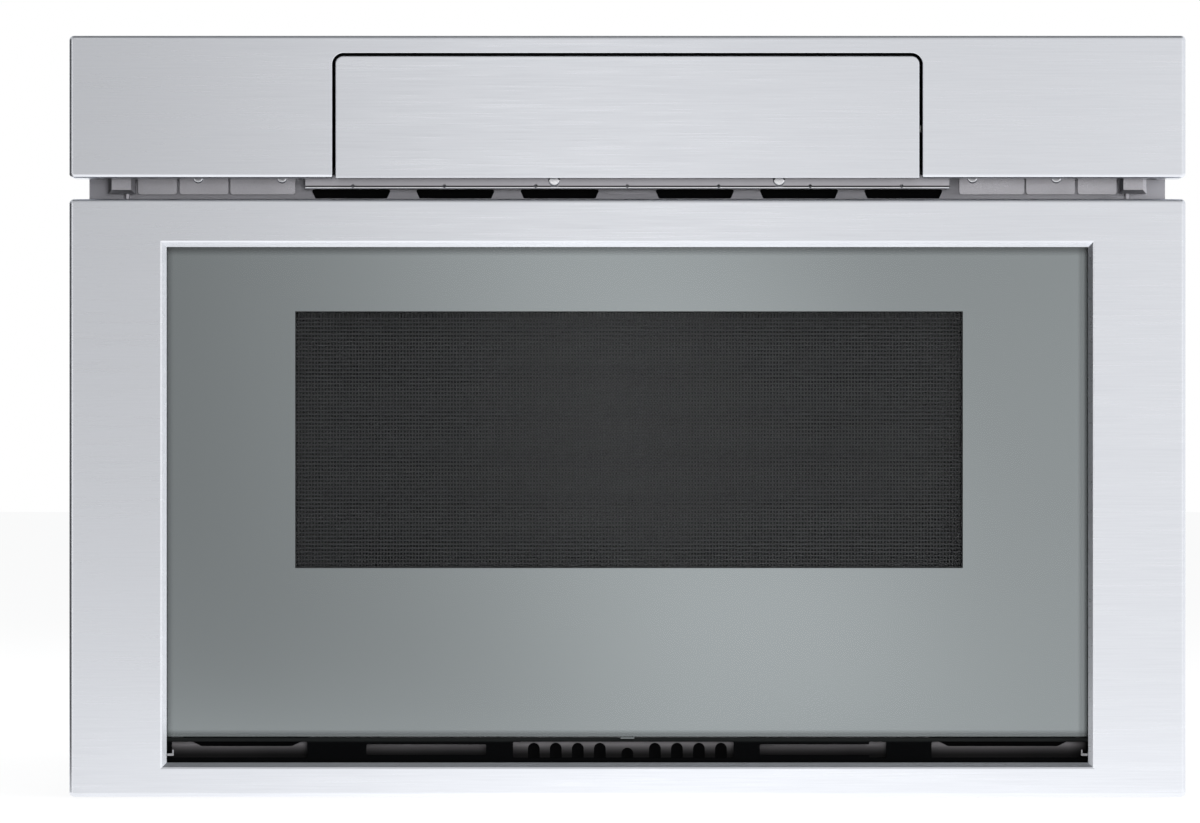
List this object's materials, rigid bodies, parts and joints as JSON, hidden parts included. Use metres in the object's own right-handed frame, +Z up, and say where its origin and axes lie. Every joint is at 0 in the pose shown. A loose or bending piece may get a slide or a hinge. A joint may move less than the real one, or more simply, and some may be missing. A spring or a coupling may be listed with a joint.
{
  "type": "microwave drawer",
  "caption": "Built-in drawer microwave oven: a stainless-framed glass front slides out on ball slides under a fascia with a tilt-out control flap.",
  "frame": {"origin": "on the plane that the base runners stand on, under the middle of the whole appliance", "axes": "+X to the right as the user sees it, +Y into the cabinet, +Z up; the front faces -Y"},
  "size_m": [0.6064, 0.594, 0.4144],
  "materials": {
    "brushed_stainless": "fine horizontal brushing, satin",
    "galvanised_sheet": "galvanised steel sheet, low spangle",
    "grey_flange": "satin grey coated steel",
    "door_glass": "grey-green mirror-coated glass",
    "black_screen": "perforated steel, black enamel",
    "black_plastic": "fine-grained black moulding",
    "grey_baffle": "dark grey coated steel",
    "clear_pane": "clear pane",
    "drawer_enamel": "light grey enamel on steel",
    "cavity_enamel": "light grey enamel on steel",
    "ceramic_plate": "smooth off-white glass ceramic",
    "zinc_rail": "bright zinc plate",
    "rack_steel": "oiled cut steel",
    "white_nylon": "natural nylon",
    "motor_black": "black coated steel",
    "bright_steel": "nickel-plated steel",
    "aluminium": "plain aluminium",
    "mica": "mica sheet",
    "board_green": "circuit board with parts",
    "transformer_steel": "varnished laminations",
    "touch_glass": "gloss black touch glass",
    "lamp": "lamp bulb in a steel box"
  },
  "bodies": {
    "chassis": {"base_pan": "galvanised_sheet", "side_panels": "galvanised_sheet", "top_cover": "galvanised_sheet", "rear_panel": "galvanised_sheet", "panel_screws": "bright_steel", "cord_gland": "black_plastic", "front_flange": "grey_flange", "reveal_plates": "grey_flange", "bumper_blocks": "grey_flange", "ledge_bar": "grey_flange", "reveal_screws": "bright_steel", "control_fascia": "brushed_stainless", "flap_housing": "black_plastic", "flap_gearmotor": "motor_black", "cavity_floor": "cavity_enamel", "cavity_ceiling": "cavity_enamel", "cavity_walls": "cavity_enamel", "stirrer_cover": "mica", "waveguide": "galvanised_sheet", "magnetron": "aluminium", "stirrer_motor": "motor_black", "hv_transformer": "transformer_steel", "hv_capacitor": "aluminium", "fan_shroud": "black_plastic", "fan_motor": "motor_black", "circuit_boards": "board_green", "oven_lamp": "lamp", "thermal_cutouts": "bright_steel", "interlock_switches": "black_plastic", "outer_rails": "zinc_rail", "rail_brackets": "galvanised_sheet", "drive_gearmotor": "motor_black", "shaft_bearing": "white_nylon", "rack_guide": "white_nylon"},
    "drawer": {"drawer_front_frame": "brushed_stainless", "door_glass": "door_glass", "glass_carrier": "black_plastic", "window_screen": "black_screen", "lower_grille": "black_plastic", "vent_baffle": "grey_baffle", "door_core": "galvanised_sheet", "choke_cover": "drawer_enamel", "inner_pane": "clear_pane", "latch_hooks": "white_nylon", "drawer_floor": "drawer_enamel", "drawer_walls": "drawer_enamel", "floor_plate": "ceramic_plate", "inner_rails": "zinc_rail", "drive_rack": "rack_steel"},
    "flap": {"flap_face": "brushed_stainless", "flap_tray": "black_plastic", "touch_glass": "touch_glass", "display_board": "board_green", "flap_sector": "white_nylon"},
    "middle_right": {"middle_rail_right": "zinc_rail"},
    "middle_left": {"middle_rail_left": "zinc_rail"},
    "drive_shaft": {"drive_pinion": "rack_steel"},
    "fan": {"fan_impeller": "black_plastic"},
    "wave_stirrer": {"stirrer": "aluminium"},
    "flap_shaft": {"flap_pinion": "white_nylon"}
  },
  "joints": [
    {"name": "drawer_slide", "type": "slide", "parent": "chassis", "child": "drawer", "axis": [0, -1, 0], "range_m": [0, 0.381]},
    {"name": "middle_right_slide", "type": "slide", "parent": "chassis", "child": "middle_right", "axis": [0, -1, 0], "range_m": [0, 0.1905]},
    {"name": "middle_left_slide", "type": "slide", "parent": "chassis", "child": "middle_left", "axis": [0, -1, 0], "range_m": [0, 0.1905]},
    {"name": "drive_shaft_spin", "type": "hinge", "parent": "chassis", "child": "drive_shaft", "pos_m": [0, -0.229, 0.04858], "axis": [1, 0, 0], "range_deg": [-1, 1620]},
    {"name": "flap_tilt", "type": "hinge", "parent": "chassis", "child": "flap", "pos_m": [0, -0.285, 0.341], "axis": [1, 0, 0], "range_deg": [0, 45]},
    {"name": "flap_shaft_spin", "type": "hinge", "parent": "chassis", "child": "flap_shaft", "pos_m": [0, -0.27258, 0.36435], "axis": [1, 0, 0], "range_deg": [-142, 1]},
    {"name": "fan_spin", "type": "hinge", "parent": "chassis", "child": "fan", "pos_m": [-0.13, 0.274, 0.21], "axis": [0, 1, 0], "continuous": true},
    {"name": "stirrer_spin", "type": "hinge", "parent": "chassis", "child": "wave_stirrer", "pos_m": [0, -0.05025, 0.2796], "axis": [0, 0, 1], "continuous": true}
  ],
  "couplings": [
    {"joint": "middle_right_slide", "follows": "drawer_slide", "ratio": 0.5},
    {"joint": "middle_left_slide", "follows": "drawer_slide", "ratio": 0.5},
    {"joint": "drive_shaft_spin", "follows": "drawer_slide", "rad_per_m": 74.074},
    {"joint": "flap_shaft_spin", "follows": "flap_tilt", "ratio": -3.125}
  ]
}
